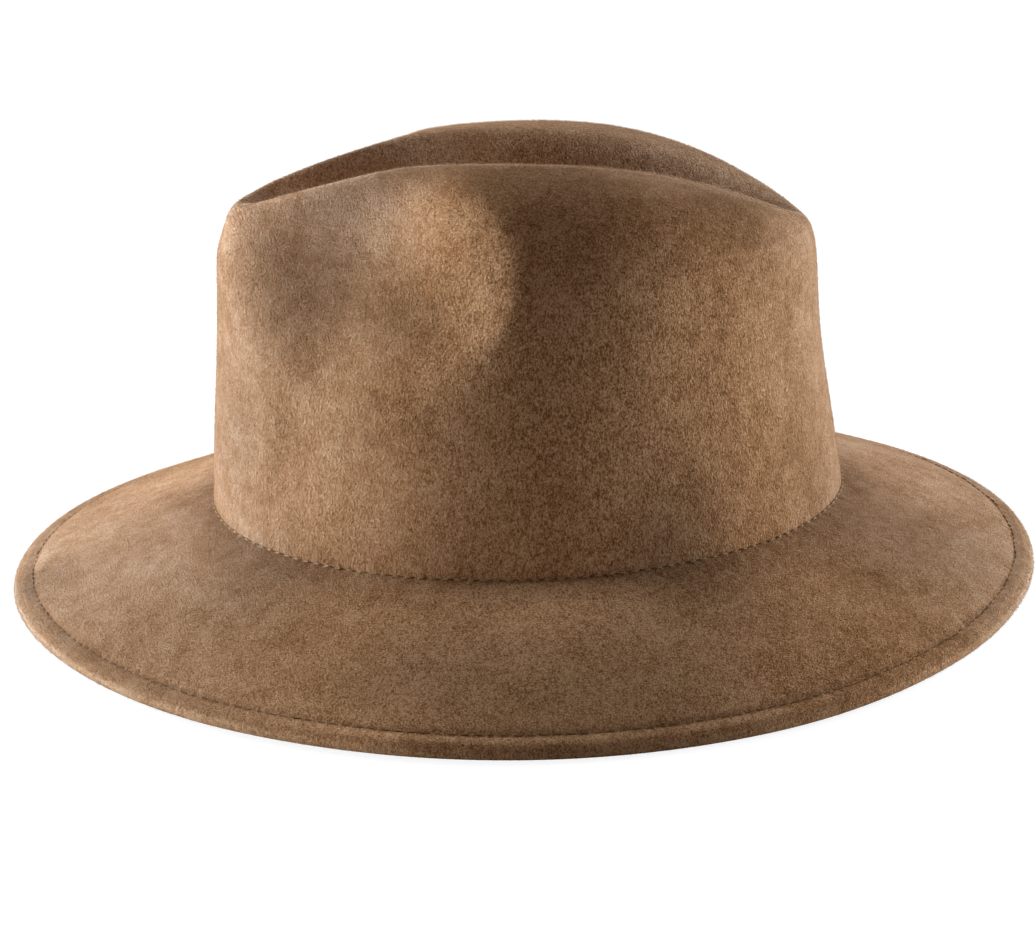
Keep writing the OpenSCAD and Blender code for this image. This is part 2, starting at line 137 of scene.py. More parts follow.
class FeltSettings(bpy.types.PropertyGroup):
    deep: a_colour("Deep Nap", "Colour at the roots of the nap", (0.163, 0.08, 0.037))
    body: a_colour("Nap", "Main colour of the felt", (0.418, 0.21, 0.101))
    tips: a_colour("Nap Tips", "Colour of the felt where the nap is brushed up", (0.6, 0.385, 0.238))
    # Painted shade in the holes where stitches go down, and beside the rows of stitches
    slit_shade: a_colour("Slit Shade", "Colour of the felt where a stitch goes down", (0.075, 0.034, 0.016))
    # Painted light: a paler tint on the felt's front and back, where the lamps fall, and a warmer one on its
    # sides, which they only graze
    lit_tint: a_colour("Lit Tint", "Tint of the felt where the nap is brushed flat", (0.945, 1.02, 1.15), 2)
    shaded_tint: a_colour("Shaded Tint", "Tint of the felt where the nap stands up", (1.03, 0.985, 0.9), 2)
    grain: a_length("Grain", "Size of the clumps of nap", 0.0005, 0.0004, 0.004)
    patch: a_length("Patches", "Size of the patches where the nap lies another way", 0.045, 0.01, 0.2)
    unevenness: a_length(
        "Unevenness", "How far the blocked shape wanders from a perfect one", 0.0004, 0, 0.002)
    rim: a_length("Dent Rim", "How far the rim of the thumb dents stands out", 0.0016, 0, 0.004)
    rim_width: a_length("Rim Width", "How far from its line the rim fades out", 0.013, 0.004, 0.03)
    # Partly wear and partly a painted highlight: the nap is painted lighter along the brim's edge
    edge_wear_and_highlight: bpy.props.FloatProperty(
        name="Edge Wear And Highlight", description="How much lighter the nap is along the brim's edge", min=0, max=1,
        default=0.14)
    # A painted highlight: the nap is painted lighter along the crest of the left ridge
    crest_highlight: bpy.props.FloatProperty(
        name="Crest Highlight", description="How much lighter the nap is along the left ridge", min=0, max=1,
        default=0.48)
    # Painted shade: the nap is painted darker on the brim in the corner beside the crown
    seam_shade: bpy.props.FloatProperty(
        name="Seam Shade", description="How much darker the nap is where the brim meets the crown", min=0,
        max=1, default=0.22)
    fibres: bpy.props.IntProperty(
        name="Fibres", description="Raised fibres in each piece of nap", min=1000, max=49000, default=45000)
    ridge_nap: a_length(
        "Ridge Nap", "Height above the brim from which the crown's nap is thicker", 0.088, 0, 0.2)
    fibre_length: a_length("Fibre Length", "Longest raised fibre", 0.0011, 0.0002, 0.003)
    fibre_width: a_length("Fibre Width", "Width of a fibre at its root", 0.00008, 0.00002, 0.0002)


class SewingSettings(bpy.types.PropertyGroup):
    edge_colour: a_colour("Edge Thread", "Colour of the thread along the brim's edge", (0.24, 0.122, 0.061))
    seam_colour: a_colour("Seam Thread", "Colour of the thread that holds the sweatband", (0.55, 0.36, 0.21))
    thickness: a_length("Thread", "Thickness of the sewing thread", 0.00038, 0.0003, 0.001)
    dive: a_length("Dive", "How deep a stitch goes down at its ends", 0.0007, 0, 0.002)


class TrimSettings(bpy.types.PropertyGroup):
    leather: a_colour("Leather", "Colour of the sweatband", (0.16, 0.075, 0.036))
    tape: a_colour("Tape", "Colour of the backing tapes", (0.036, 0.028, 0.022))
    reed: a_colour("Reed", "Colour of the reed", (0.62, 0.57, 0.48))
    ribbon: a_colour("Ribbon", "Colour of the bow", (0.07, 0.04, 0.022))
    satin: a_colour("Satin", "Colour of the lining", (0.43, 0.275, 0.15))
    piping: a_colour("Piping", "Colour of the lining's piping", (0.22, 0.13, 0.065))
    ripple: a_length("Ripples", "Depth of the folds in the lining's side", 0.0018, 0, 0.003)


class StageSettings(bpy.types.PropertyGroup):
    azimuth: an_angle("Azimuth", "Side from which the camera looks, from the front to the wearer's left", 78)
    elevation: an_angle("Elevation", "Height of the camera above the floor, as an angle", 20.03)
    roll: an_angle("Roll", "Turn of the camera about its view", -0.612)
    distance: bpy.props.FloatProperty(
        name="Distance", description="From the camera to the middle of the head opening", unit="LENGTH",
        min=0.3, default=1.3)
    lens: bpy.props.FloatProperty(
        name="Lens", description="Focal length", unit="CAMERA", min=20, default=136.5)
    shift: bpy.props.FloatVectorProperty(
        name="Shift", description="Camera shift that frames the hat as photographed", size=2, precision=4,
        default=(-0.0120, 0.0122))
    left: bpy.props.FloatProperty(
        name="Left Lamp", description="Power of the lamp on the left", unit="POWER", min=0, default=47)
    left_swing: an_angle("Left Swing", "From the camera round to the lamp on the left", -97)
    left_rise: an_angle("Left Rise", "Height of the lamp on the left, as an angle", 11)
    right: bpy.props.FloatProperty(
        name="Right Lamp", description="Power of the lamp on the right", unit="POWER", min=0, default=37)
    right_swing: an_angle("Right Swing", "From the camera round to the lamp on the right", 108)
    right_rise: an_angle("Right Rise", "Height of the lamp on the right, as an angle", 10)
    back: bpy.props.FloatProperty(
        name="Back Lamp", description="Power of the lamp behind the hat", unit="POWER", min=0, default=4)
    back_rise: an_angle("Back Rise", "Height of the lamp behind the hat, as an angle", 18)
    daylight: a_colour("Daylight", "Colour of the lamps", (0.78, 0.9, 1.0))
    fill: bpy.props.FloatProperty(
        name="Fill", description="Strength of the light from all round", min=0, max=1, default=0.09)
    warmth: a_colour("Fill Colour", "Colour of the light from all round", (1.0, 0.62, 0.37))
    paper: a_colour("Paper", "Colour of the floor", (0.8, 0.8, 0.8))


# Helpers for pieces


def activate(piece):
    """Select one piece alone."""
    if bpy.context.object and bpy.context.object.mode != "OBJECT":
        bpy.ops.object.mode_set(mode="OBJECT")
    bpy.ops.object.select_all(action="DESELECT")
    piece.select_set(True)
    bpy.context.view_layer.objects.active = piece


def copy_of(node, name):
    """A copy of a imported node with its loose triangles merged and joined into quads."""
    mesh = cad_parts[node].data.copy()
    mesh.name = name
    mesh.materials.clear()
    piece = bpy.data.objects.new(name, mesh)
    bpy.context.scene.collection.objects.link(piece)
    activate(piece)
    bpy.ops.mesh.customdata_custom_splitnormals_clear()
    bpy.ops.object.mode_set(mode="EDIT")
    bpy.ops.mesh.select_all(action="SELECT")
    bpy.ops.mesh.remove_doubles(threshold=ONE_POINT)
    bpy.ops.mesh.tris_convert_to_quads(face_threshold=math.pi, shape_threshold=math.pi)
    bpy.ops.object.mode_set(mode="OBJECT")
    return piece


def crease_edges(piece, wanted, weight):
    """Crease the edges that a test picks, so that smoothing keeps them."""
    activate(piece)
    bpy.ops.object.mode_set(mode="EDIT")
    work = bmesh.from_edit_mesh(piece.data)
    for edge in work.edges:
        edge.select_set(wanted(edge))
    bmesh.update_edit_mesh(piece.data)
    bpy.ops.transform.edge_crease(value=weight)
    bpy.ops.object.mode_set(mode="OBJECT")


def sharp(edge):
    """True for an edge where two faces meet sharply."""
    return len(edge.link_faces) == 2 and edge.calc_face_angle() > SHARP_ANGLE


def round_edges(piece, width):
    """Bevel the sharp edges of a piece."""
    activate(piece)
    bevel = piece.modifiers.new("Edges", "BEVEL")
    bevel.width = width
    bevel.segments = 2
    bevel.limit_method = "ANGLE"
    bevel.angle_limit = SHARP_ANGLE
    bpy.ops.object.modifier_apply(modifier=bevel.name)


def smooth(piece, levels):
    """Subdivide a piece into a smooth one."""
    activate(piece)
    rounding = piece.modifiers.new("Smooth", "SUBSURF")
    rounding.levels = levels
    rounding.render_levels = levels
    bpy.ops.object.modifier_apply(modifier=rounding.name)
    bpy.ops.object.shade_smooth()


def points_of(mesh):
    """The points of a mesh, one to a row."""
    points = np.empty(len(mesh.vertices) * 3)
    mesh.vertices.foreach_get("co", points)
    return points.reshape(-1, 3)


def place_points(mesh, points):
    """Put the points of a mesh in new places."""
    mesh.vertices.foreach_set("co", np.asarray(points, np.float32).ravel())
    mesh.update()


def ramp(values, start, length):
    """Zero up to a start and one from a length beyond it. A length below zero goes the other way."""
    return np.clip((values - start) / length, 0, 1)


def bell(values, width):
    """One at zero, fading out to both sides."""
    return np.exp(-0.5 * (values / width) ** 2)


def unit(vectors, least=0.0):
    """Vectors brought to a length of one. A least length keeps those without any from failing."""
    return vectors / (np.linalg.norm(vectors, axis=1, keepdims=True) + least)


def direction(turn, rise):
    """The way to a place that is a turn round the hat from its front, and a rise above the floor."""
    return Vector((math.sin(turn) * math.cos(rise), -math.cos(turn) * math.cos(rise), math.sin(rise)))


def shaded(colour, times):
    """A colour made darker or lighter."""
    return tuple(min(c * times, 1) for c in colour)


def dent_rim(points, rise, width):
    """How far each point moves out where the felt turns crisply into a thumb dent."""
    back = points[:, 1] - SEAM_MIDDLE.y + DENT_FORWARD
    high = points[:, 2] - SEAM_LOW.z - DENT_RISE
    along = back / np.where(back > 0, DENT_BACK, DENT_FRONT)
    upright = high / np.where(high > 0, DENT_UP, DENT_DOWN)
    off = np.hypot(back, high) * (1 - 1 / np.maximum(np.hypot(along, upright), 0.01))
    share = np.clip(1 - np.abs(off) / width, 0, 1) ** 2
    share *= ramp(along, -0.1, 0.5) * ramp(upright, 1, -0.5)
    share *= ramp(upright, -0.85, 0.35)
    share *= ramp(np.abs(points[:, 0]), 0.02, 0.015)
    out = unit(points * (1, 1, 0) - (0, SEAM_MIDDLE.y - DENT_CENTRE, 0))
    return rise * share[:, None] * out


def settle(piece):
    """Give a piece the hat's slight unevenness. All pieces follow one field, so they stay on each other."""
    felt = bpy.context.scene.hat_felt
    points = points_of(piece.data)
    noise.seed_set(UNEVEN_SEED)
    drift = np.array([noise.noise_vector(Vector(p) / UNEVEN_SIZE) for p in points])
    drift[:, 2] *= ramp(points[:, 2], 0, UNEVEN_RISE)
    place_points(piece.data, points + felt.unevenness * drift + dent_rim(points, felt.rim, felt.rim_width))


def done(piece, finish, slot, *nodes):
    """Give a piece its finish and its place on the hat."""
    piece.data.materials.clear()
    piece.data.materials.append(finish)
    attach(piece, "root")
    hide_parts(*nodes)


def trim_piece(node, name, finish, slot, levels=2, creased=True):
    """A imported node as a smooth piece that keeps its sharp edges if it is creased."""
    piece = copy_of(node, name)
    if creased:
        crease_edges(piece, sharp, 1.0)
    smooth(piece, levels)
    settle(piece)
    done(piece, finish, slot, node)
    return piece


def new_piece(name, points, faces):
    """A smooth piece made of rows of points and faces."""
    mesh = bpy.data.meshes.new(name)
    mesh.from_pydata(points.tolist(), [], faces)
    piece = bpy.data.objects.new(name, mesh)
    bpy.context.scene.collection.objects.link(piece)
    activate(piece)
    bpy.ops.object.shade_smooth()
    return piece


def surface_of(*pieces):
    """A tree for finding the nearest place on some pieces."""
    points, faces = [], []
    for piece in pieces:
        start = len(points)
        points += [v.co.copy() for v in piece.data.vertices]
        faces += [[start + i for i in f.vertices] for f in piece.data.polygons]
    return BVHTree.FromPolygons(points, faces)


def stitches_of(node):
    """Middle, direction and length of each stitch of a packed thread, in order round the hat."""
    work = bmesh.new()
    work.from_mesh(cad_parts[node].data)
    bmesh.ops.remove_doubles(work, verts=work.verts, dist=ONE_POINT)
    stitches, seen = [], set()
    for first in work.verts:
        if first in seen:
            continue
        seen.add(first)
        island, edge_of_island = [first], [first]
        while edge_of_island:
            near = edge_of_island.pop()
            for edge in near.link_edges:
                other = edge.other_vert(near)
                if other not in seen:
                    seen.add(other)
                    island.append(other)
                    edge_of_island.append(other)
        points = np.array([v.co for v in island])
        way = np.linalg.svd(points - points.mean(0), full_matrices=False)[2][0]
        along = (points - points.mean(0)) @ way
        middle = points.mean(0) + way * (along.max() + along.min()) / 2
        from_middle = middle - np.array(SEAM_MIDDLE)
        if np.cross(from_middle, way)[2] < 0:
            way = -way
        turn = math.atan2(from_middle[1], from_middle[0])
        stitches.append((turn, middle, way, along.max() - along.min()))
    work.free()
    stitches.sort(key=lambda stitch: stitch[0])
    return [stitch[1:] for stitch in stitches]


def one_stitch():
    """Points and faces of one stitch of twisted two-ply thread, a unit long, before its ends dip."""
    bpy.ops.object.select_all(action="DESELECT")
    steps, twist = 8, math.radians(40)
    bpy.ops.mesh.primitive_circle_add(vertices=8, radius=0.5, fill_type="NGON", rotation=(0, -math.pi / 2, 0))
    strand = bpy.context.object
    bpy.ops.object.transform_apply(location=True, rotation=True, scale=True)
    bpy.ops.object.mode_set(mode="EDIT")
    bpy.ops.mesh.select_all(action="SELECT")
    bpy.ops.transform.translate(value=(-0.5, 0, 0))
    bpy.ops.transform.resize(value=(1, 1, 0.8), center_override=(-0.5, 0, 0))
    for step in range(steps):
        bpy.ops.mesh.extrude_region_move(TRANSFORM_OT_translate={"value": (1 / steps, 0, 0)})
        end = ((step + 1) / steps - 0.5, 0, 0)
        bpy.ops.transform.rotate(value=twist, orient_axis="X", center_override=end)
    bpy.ops.mesh.select_all(action="SELECT")
    bpy.ops.mesh.normals_make_consistent(inside=False)
    bpy.ops.object.mode_set(mode="OBJECT")
    points = points_of(strand.data)
    faces = [list(f.vertices) for f in strand.data.polygons]
    bpy.data.meshes.remove(strand.data)
    return points, faces


def sew(name, node, ground, finish, slot, shown=1.0, buried=0.2):
    """Sew a row of stitches where a packed thread has its own, each set upright on the ground under it."""
    sewing = bpy.context.scene.hat_sewing
    thickness = sewing.thickness
    points, faces = one_stitch()
    sink = ramp(np.abs(points[:, 0]) * 2, 0.6, 0.4) ** 2
    rows, all_faces = [], []
    dice = np.random.default_rng(len(name))
    for count, (middle, way, length) in enumerate(stitches_of(node)):
        _, up, _, _ = ground.find_nearest(Vector(middle))
        across = np.cross(np.array(up), way)
        way = way + dice.normal(0, 0.05) * across / np.linalg.norm(across)
        way /= np.linalg.norm(way)
        across = np.cross(np.array(up), way)
        across /= np.linalg.norm(across)
        up = np.cross(way, across)
        reach = shown * length * dice.uniform(0.85, 1.1) + 0.8 * thickness
        rows.append(
            middle - dice.uniform(0, buried) * thickness * up + np.outer(points[:, 0] * reach, way)
            + np.outer(points[:, 1] * thickness, across)
            + np.outer(points[:, 2] * thickness - sink * sewing.dive, up))
        all_faces += [[count * len(points) + i for i in face] for face in faces]
    piece = new_piece(name, np.concatenate(rows), all_faces)
    settle(piece)
    done(piece, finish, slot, node)


# Helpers for finishes


class Finish:
    """A material with short ways to add and join its nodes. Each way returns an output."""

    def __init__(self, name):
        self.material = bpy.data.materials.new(name)
        self.material.use_nodes = True
        self.tree = self.material.node_tree
        self.shader = self.tree.nodes["Principled BSDF"]
        self.place = self.node("ShaderNodeTexCoord").outputs["Object"]

    def node(self, kind, **settings):
        made = self.tree.nodes.new(kind)
        for setting, value in settings.items():
            setattr(made, setting, value)
        return made

    def feed(self, socket, value):
        """Join an output to a socket, or set the socket to a value."""
        if isinstance(value, bpy.types.NodeSocket):
            self.tree.links.new(value, socket)
        elif socket.type == "RGBA" and len(value) == 3:
            socket.default_value = (*value, 1)
        else:
            socket.default_value = value

    def feed_all(self, made, **sockets):
        for socket, value in sockets.items():
            self.feed(made.inputs[socket.replace("_", " ")], value)

    def set(self, **sockets):
        self.feed_all(self.shader, **sockets)

    def stretched(self, scale, turn=(0, 0, 0)):
        made = self.node("ShaderNodeMapping")
        self.feed_all(made, Vector=self.place, Scale=scale, Rotation=turn)
        return made.outputs[0]

    def cloud(self, size, detail=3.0, roughness=0.55, distortion=0.0, place=None):
        made = self.node("ShaderNodeTexNoise")
        self.feed_all(made, Vector=place or self.place, Scale=1 / size, Detail=detail, Roughness=roughness,
                      Distortion=distortion)
        return made.outputs[0]

    def cells(self, size):
        made = self.node("ShaderNodeTexVoronoi", feature="DISTANCE_TO_EDGE")
        self.feed_all(made, Vector=self.place, Scale=1 / size)
        return made.outputs["Distance"]

    def stripes(self, size, axis, place=None, distortion=0.0):
        made = self.node("ShaderNodeTexWave", bands_direction=axis)
        self.feed_all(made, Vector=place or self.place, Scale=STRIPE / size, Distortion=distortion)
        return made.outputs["Fac"]

    def sums(self, operation, a, b=0.0, c=0.0):
        made = self.node("ShaderNodeMath", operation=operation)
        for socket, value in zip(made.inputs, (a, b, c)):
            self.feed(socket, value)
        return made.outputs[0]

    def vary(self, value, texture, amount):
        """A value that goes up and down with a texture."""
        return self.sums("MULTIPLY_ADD", self.sums("SUBTRACT", texture, 0.5), amount, value)

    def spread(self, value, low, high, to_low=0.0, to_high=1.0):
        made = self.node("ShaderNodeMapRange")
        for socket, number in zip(made.inputs, (value, low, high, to_low, to_high)):
            self.feed(socket, number)
        return made.outputs[0]

    def blend(self, share, a, b, way="MIX"):
        made = self.node("ShaderNodeMix", data_type="RGBA", blend_type=way)
        self.feed(made.inputs[0], share)
        self.feed(made.inputs[6], a)
        self.feed(made.inputs[7], b)
        return made.outputs[2]

    def stored(self, name, output="Fac"):
        return self.node("ShaderNodeAttribute", attribute_name=name).outputs[output]

    def relief(self, height, depth, below=None):
        made = self.node("ShaderNodeBump")
        self.feed_all(made, Strength=1.0, Distance=depth, Height=height)
        if below:
            self.feed(made.inputs["Normal"], below)
        return made.outputs[0]


def felt_finish():
    """Brushed felt, with slits and puckers along its rows of stitches, painted shade in the slits and beside
    the rows, and the painted light and shade stored on the felt.
    """
    felt = bpy.context.scene.hat_felt
    look = Finish("brushed_felt")
    patches = look.cloud(felt.patch, 4, 0.6, 0.5)
    mottle = look.cloud(felt.grain * 12, 3, 0.6, 0.4)
    brushed = look.stretched((1, 1, 0.6))
    clumps = look.cloud(felt.grain, 1, 0.6, 0.8, brushed)
    tufts = look.cloud(felt.grain * 3, 2, 0.5, 0.6, brushed)
    curls = look.cloud(felt.grain * 1.5, 1, 0.5, 1.6, brushed)
    strands = look.spread(look.sums("ABSOLUTE", look.sums("SUBTRACT", curls, 0.5)), 0.0, 0.1, 1.0, 0.0)
    raised = look.sums("MULTIPLY_ADD", strands, 0.4, -0.16)
    raised = look.vary(raised, clumps, 2.8)
    raised = look.vary(raised, tufts, 1.0)
    # Partly grain, partly painted relief shade: stronger where the lamps graze the felt
    tone = look.sums("MULTIPLY", raised, look.stored("nap_grain_and_relief_shade"))
    tone = look.vary(tone, patches, 0.9)
    tone = look.vary(tone, mottle, 0.7)
    # Edge wear and painted highlights lift the tone towards the tip colour
    tone = look.sums("ADD", look.sums("ADD", look.stored("nap_wear_and_highlight"), tone), 0.5)
    colour = look.blend(look.spread(tone, 0.0, 0.5), felt.deep, felt.body)
    colour = look.blend(look.spread(tone, 0.5, 1.0), colour, felt.tips)
    # Painted light: paler where the lamps light the front and back, warmer on the sides that they graze
    tint = look.blend(look.stored("nap_shaded_share"), felt.lit_tint, felt.shaded_tint)
    colour = look.blend(1.0, colour, tint, "MULTIPLY")
    colour = look.blend(1.0, colour, look.stored("nap_shade", "Color"), "MULTIPLY")
    row = look.node("ShaderNodeSeparateXYZ")
    look.feed(row.inputs[0], look.node("ShaderNodeUVMap", uv_map="sewing").outputs[0])
    between = look.sums("PINGPONG", row.outputs["X"], 0.5)
    beside = look.sums("ABSOLUTE", row.outputs["Y"])
    # Painted shade: dark slits where each stitch goes down, and a faint painted shade beside every row of
    # stitches
    slit_shade = look.spread(beside, 0.0002, 0.0006, 0.85, 0.0)
    slit_shade = look.sums("MULTIPLY", look.spread(between, 0.22, 0.32), slit_shade)
    corner = look.spread(beside, 0.0, 0.0025, 0.15, 0.0)
    colour = look.blend(look.sums("MAXIMUM", slit_shade, corner), colour, felt.slit_shade)
    pucker = look.sums("MULTIPLY", between, look.spread(beside, 0.001, 0.006, 1.0, 0.0))
    bumps = look.relief(mottle, 0.0006)
    bumps = look.relief(clumps, 0.0006, bumps)
    bumps = look.relief(pucker, -0.0003, bumps)
    look.set(
        Base_Color=colour, Roughness=0.95, Specular_IOR_Level=0.0, Sheen_Weight=0.12, Sheen_Roughness=0.2,
        Sheen_Tint=(1.0, 0.72, 0.5), Normal=bumps)
    return look.material


def nap_finish():
    """Raised fibres, darker at their roots."""
    felt = bpy.context.scene.hat_felt
    look = Finish("nap_fibres")
    parts = look.node("ShaderNodeSeparateXYZ")
    look.feed(parts.inputs[0], look.node("ShaderNodeUVMap", uv_map="OFBake").outputs[0])
    colour = look.blend(look.spread(parts.outputs["X"], 0.0, 1.0, 0.3, 1.0), felt.body, felt.tips)
    colour = look.blend(look.spread(parts.outputs["Y"], 0.0, 0.6, 0.5, 0.0), colour, felt.deep)
    look.set(Base_Color=colour, Roughness=0.9, Specular_IOR_Level=0.0)
    return look.material


def thread_finish(name, colour):
    """Matt thread with lint and with darker runs."""
    look = Finish(name)
    lint = look.cloud(0.0004, 3, 0.6)
    runs = look.cloud(0.012, 2)
    shade = look.blend(look.spread(lint, 0.3, 0.7), shaded(colour, 0.6), shaded(colour, 1.25))
    shade = look.blend(look.spread(runs, 0.35, 0.7, 0.0, 0.35), shade, shaded(colour, 0.6))
    look.set(Base_Color=shade, Roughness=0.85, Specular_IOR_Level=0.0, Normal=look.relief(lint, 0.0001))
    return look.material


def leather_finish():
    """Grained sheepskin with pale wear."""
    trim = bpy.context.scene.hat_trim
    look = Finish("sheepskin")
    pores = look.cells(0.0011)
    creases = look.cloud(0.004, 5, 0.65, 0.6)
    wear = look.cloud(0.03, 4, 0.6)
    dark = shaded(trim.leather, 0.55)
    pale = shaded(trim.leather, 1.7)
    colour = look.blend(look.spread(pores, 0.0, 0.12), dark, trim.leather)
    colour = look.blend(look.spread(wear, 0.45, 0.75, 0.0, 0.6), colour, pale)
    height = look.sums("MULTIPLY_ADD", creases, 0.6, look.spread(pores, 0.0, 0.15))
    look.set(Base_Color=colour, Roughness=look.spread(creases, 0.3, 0.7, 0.38, 0.6), Specular_IOR_Level=0.45,
             Normal=look.relief(height, 0.00015))
    return look.material


def tape_finish():
    """Woven cotton tape with some dust."""
    trim = bpy.context.scene.hat_trim
    look = Finish("cotton_tape")
    warp = look.stripes(0.0007, "Z")
    weft = look.stripes(0.0007, "DIAGONAL")
    weave = look.sums("MAXIMUM", warp, weft)
    dust = look.cloud(0.01, 4)
    colour = look.blend(weave, shaded(trim.tape, 0.6), shaded(trim.tape, 1.6))
    colour = look.blend(look.spread(dust, 0.5, 0.8, 0.0, 0.4), colour, (0.09, 0.075, 0.06))
    look.set(Base_Color=colour, Roughness=0.85, Specular_IOR_Level=0.15, Normal=look.relief(weave, 0.0001))
    return look.material


def reed_finish():
    """Drawn plastic with a slight haze."""
    trim = bpy.context.scene.hat_trim
    look = Finish("reed_plastic")
    haze = look.cloud(0.006, 3)
    drawn = look.cloud(0.0006, 2)
    colour = look.blend(haze, shaded(trim.reed, 0.85), trim.reed)
    gloss = look.spread(drawn, 0.3, 0.7, 0.3, 0.5)
    look.set(Base_Color=colour, Roughness=gloss, Normal=look.relief(drawn, 0.00003))
    return look.material


def ribbon_finish():
    """Ribbed ribbon."""
    trim = bpy.context.scene.hat_trim
    look = Finish("grosgrain")
    ribs = look.stripes(0.0007, "X", distortion=0.3)
    lint = look.cloud(0.0005, 3)
    worn = look.sums("MULTIPLY", ribs, lint)
    colour = look.blend(worn, shaded(trim.ribbon, 0.5), shaded(trim.ribbon, 2.2))
    look.set(Base_Color=colour, Roughness=0.6, Specular_IOR_Level=0.25, Sheen_Weight=0.15,
             Normal=look.relief(ribs, 0.00015))
    return look.material


def satin_finish(name, colour, turn):
    """Satin with slubs, and a twill that a turn lays along the cloth."""
    look = Finish(name)
    twill = look.stripes(0.0006, "X", look.stretched((1, 1, 1), turn), 0.2)
    slubs = look.cloud(0.02, 4, 0.6, 0.5, look.stretched((1, 1, 0.15)))
    shade = look.blend(slubs, shaded(colour, 0.75), shaded(colour, 1.25))
    shade = look.blend(look.spread(twill, 0.2, 0.8, 0.25, 0.0), shade, shaded(colour, 0.5))
    bumps = look.relief(slubs, 0.0008)
    bumps = look.relief(twill, 0.00006, bumps)
    gloss = look.spread(slubs, 0.3, 0.7, 0.3, 0.45)
    look.set(Base_Color=shade, Roughness=gloss, Specular_IOR_Level=0.5, Sheen_Weight=0.2, Normal=bumps)
    return look.material


# Operators


class HAT_OT_felt_body(bpy.types.Operator):
    """Block the felt: crown, brim and turned-under edge in one piece"""

    bl_idname = "hat.felt_body"
    bl_label = "Blocked Felt"

    def execute(self, context):
        piece = copy_of("felt_body", "blocked_felt")
        crease_edges(piece, self.at_seam, 0.75)
        smooth(piece, 2)
        self.map_sewing(piece.data)
        settle(piece)
        self.brush(piece.data, context.scene.hat_felt)
        done(piece, felt_finish(), "felt", "felt_body")
        return {"FINISHED"}

    def at_seam(self, edge):
        """True for an edge in the corner between crown and brim."""
        return all(abs(v.co.z - SEAM_LOW.z) < 0.0004 for v in edge.verts)

    def brush(self, mesh, felt):
        """Store how the nap is painted: its grain and tint, its edge wear, and painted light and shade from
        highlights, marks and the seam.
        """
        points = points_of(mesh)
        normals = np.array([v.normal for v in mesh.vertices])
        away = points - np.array(SEAM_MIDDLE)
        reach = np.hypot(away[:, 0], away[:, 1])
        slope = normals[:, 2]
        outward = (normals * away)[:, :2].sum(1) / reach
        inward = -normals[:, 0] * np.sign(points[:, 0])
        sideways = (away[:, 0] / reach) ** 2
        on_crown = points[:, 2] > SEAM_MIDDLE.z
        in_crease = on_crown * ramp(slope, 0.2, 0.3) * ramp(inward, -0.2, 0.2)
        # Where the painted highlight lies: along the crest of the near, left ridge
        crest = on_crown * (points[:, 0] > 0) * ramp(slope, 0.6, 0.3) * bell(inward - 0.28, 0.18)
        # The brim's edge, weaker on the sides: partly wear, partly a painted highlight
        edge = np.minimum(ramp(slope, 0.85, -0.35) + ramp(outward, 0.2, -0.25), 1)
        edge *= ramp(slope, -0.7, 0.3) * (points[:, 2] < EDGE_TOP) * (1 - 0.7 * sideways)
        # Painted shade on the brim in the corner beside the seam
        beyond = np.hypot(*(away / np.array(SEAM_HIGH - SEAM_MIDDLE))[:, :2].T) - 1
        seam_shade = bell(beyond, 0.07) * ~on_crown
        # Brush marks and painted light and shade: patches of painted highlight and painted shadow on the felt
        light_and_brush_marks = sum(
            strength * np.exp(-0.5 * ((points - np.array(place)) ** 2).sum(1) / size ** 2)
            for place, size, strength in PAINTED_LIGHT_AND_BRUSH_MARKS)
        # Painted highlights and brush marks: the lighter marks and the crest
        brushed_and_lit = np.maximum(light_and_brush_marks + felt.crest_highlight * crest, 0)
        tone = light_and_brush_marks + felt.edge_wear_and_highlight * edge + felt.crest_highlight * crest - felt.seam_shade * seam_shade
        # Grain painted stronger on the sides and in the crease, where the lamps graze: partly grain, partly
        # painted shade of the nap's relief
        grain = 0.4 + 0.6 * np.where(on_crown, sideways ** 2, sideways)
        for name, values in (
                ("nap_grain_and_relief_shade", np.maximum(grain, 0.8 * in_crease)),
                # Share of the warmer tint, painted on the sides that the lamps only graze
                ("nap_shaded_share", np.clip(1.7 * sideways, 0, 1) * (1 - 0.5 * in_crease)),
                ("nap_wear_and_highlight", 0.3 * edge + 0.4 * brushed_and_lit),
                ("nap_shade", np.clip(np.exp(1.3 * tone - 0.4 * brushed_and_lit), 0.5, 1.65))):
            mesh.attributes.new(name, "FLOAT", "POINT").data.foreach_set("value", values.astype(np.float32))

    def map_sewing(self, mesh):
        """Map the felt along its nearest row of stitches: across by stitches, up by the distance."""
        middle = np.array(SEAM_MIDDLE)
        points = points_of(mesh)
        corners = np.array([f.vertices[:] for f in mesh.polygons])
        away = points[corners] - middle
        turns = np.arctan2(away[..., 1], away[..., 0])
        turns = turns[:, :1] + np.mod(turns - turns[:, :1] + math.pi, 2 * math.pi) - math.pi
        nearest = np.full(len(corners), np.inf)
        found = np.zeros((*corners.shape, 2))
        for node, rising in (("welt_top_thread", 0), ("welt_under_thread", 0), ("sweatband_seam_thread", 1)):
            row = np.array([stitch[0] for stitch in stitches_of(node)])
            row_turns = np.arctan2(row[:, 1] - middle[1], row[:, 0] - middle[0])
            row_turns = np.concatenate([row_turns - 2 * math.pi, row_turns, row_turns + 2 * math.pi])
            row = np.tile(row, (3, 1))
            counts = np.interp(turns, row_turns, np.arange(len(row)))
            on_row = np.stack([np.interp(turns, row_turns, row[:, k]) for k in range(3)], -1)
            beside = points[corners] - on_row
            sign = np.where(rising, beside[..., 2] > 0, (beside * away).sum(-1) > 0) * 2 - 1
            gaps = np.linalg.norm(beside, axis=-1)
            mapped = np.stack([counts + 0.5 - 0.5 * rising, sign * gaps * (1.6 - 0.6 * rising)], -1)
            closer = gaps.mean(1) < nearest
            nearest[closer] = gaps.mean(1)[closer]
            found[closer] = mapped[closer]
        mesh.uv_layers.new(name="sewing").data.foreach_set("uv", found.astype(np.float32).ravel())


